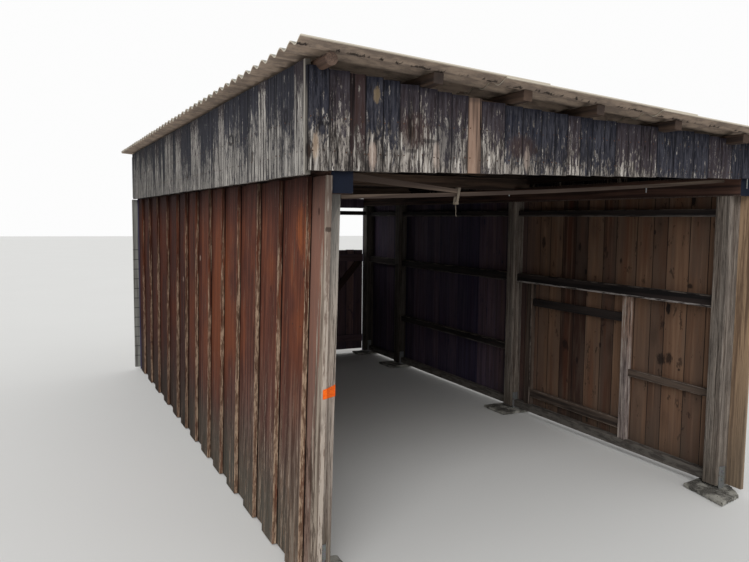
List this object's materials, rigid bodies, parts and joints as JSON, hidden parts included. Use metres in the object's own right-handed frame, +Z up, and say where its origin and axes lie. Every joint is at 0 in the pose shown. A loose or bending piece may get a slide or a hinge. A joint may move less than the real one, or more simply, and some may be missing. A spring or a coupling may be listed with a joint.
{
  "type": "timber carport",
  "caption": "Open-fronted timber car shelter: mono-pitch corrugated roof on plates and ties, deep board fascias, boarded walls on posts and rails, and a low braced gate in the back wall.",
  "frame": {"origin": "on the ground, under the middle of the roof's plan", "axes": "+Y from the open front to the back, +X to the low side of the roof, +Z up"},
  "size_m": [3.25, 5.72, 2.4263],
  "materials": {
    "post_wood": "weathered, rough",
    "stained_boards": "old red-brown stain, worn to grey",
    "brown_boards": "rough sawn, knotty",
    "dark_rails": "dark grey, rough sawn",
    "panel_battens": "rough sawn",
    "plate_timber": "dark red-brown stain",
    "roof_timber": "rough sawn",
    "fascia_boards": "old dark paint flaking off silver-grey wood",
    "pale_board": "weathered pale grey",
    "lath_wood": "planed, dusty",
    "roof_sheet": "fibre cement, weathered and stained",
    "concrete": "rough cast concrete",
    "galvanised_steel": "dull galvanised",
    "tie_band": "dusty off-white strip and string",
    "marker_tape": "fluorescent orange tape"
  },
  "bodies": {
    "shelter": {"left_front_post": "post_wood", "left_posts": "post_wood", "right_front_post": "post_wood", "right_posts": "post_wood", "gate_post": "post_wood", "left_wall": "stained_boards", "left_outer_boards": "stained_boards", "right_wall": "brown_boards", "back_wall": "brown_boards", "back_lintel": "brown_boards", "back_right_board": "brown_boards", "left_rails": "dark_rails", "right_top_rails": "dark_rails", "right_mid_rails": "dark_rails", "right_low_rails": "dark_rails", "back_rails": "dark_rails", "opening_bar": "dark_rails", "panel_uprights": "panel_battens", "panel_ledges": "panel_battens", "left_plate": "plate_timber", "right_plate": "plate_timber", "tie_beams": "roof_timber", "rafters": "roof_timber", "left_struts": "roof_timber", "purlins": "roof_timber", "log_purlin": "roof_timber", "fascia_battens": "roof_timber", "front_fascia": "fascia_boards", "left_fascia": "fascia_boards", "right_fascia": "fascia_boards", "back_fascia": "fascia_boards", "rear_corner_board": "pale_board", "long_lath": "lath_wood", "tied_lath": "lath_wood", "lath_tie": "tie_band", "tie_string": "tie_band", "roof_course_upper": "roof_sheet", "roof_course_middle": "roof_sheet", "roof_course_lower": "roof_sheet", "post_pads": "concrete", "post_anchors": "galvanised_steel", "gate_pins": "galvanised_steel"},
    "gate": {"gate_leaf": "brown_boards", "gate_ledges": "dark_rails", "gate_brace": "dark_rails", "gate_straps": "galvanised_steel"}
  },
  "joints": [
    {"name": "back_gate_hinge", "type": "hinge", "parent": "shelter", "child": "gate", "pos_m": [0.31, 2.663, 0.685], "axis": [0, 0, 1], "range_deg": [0, 100]}
  ]
}
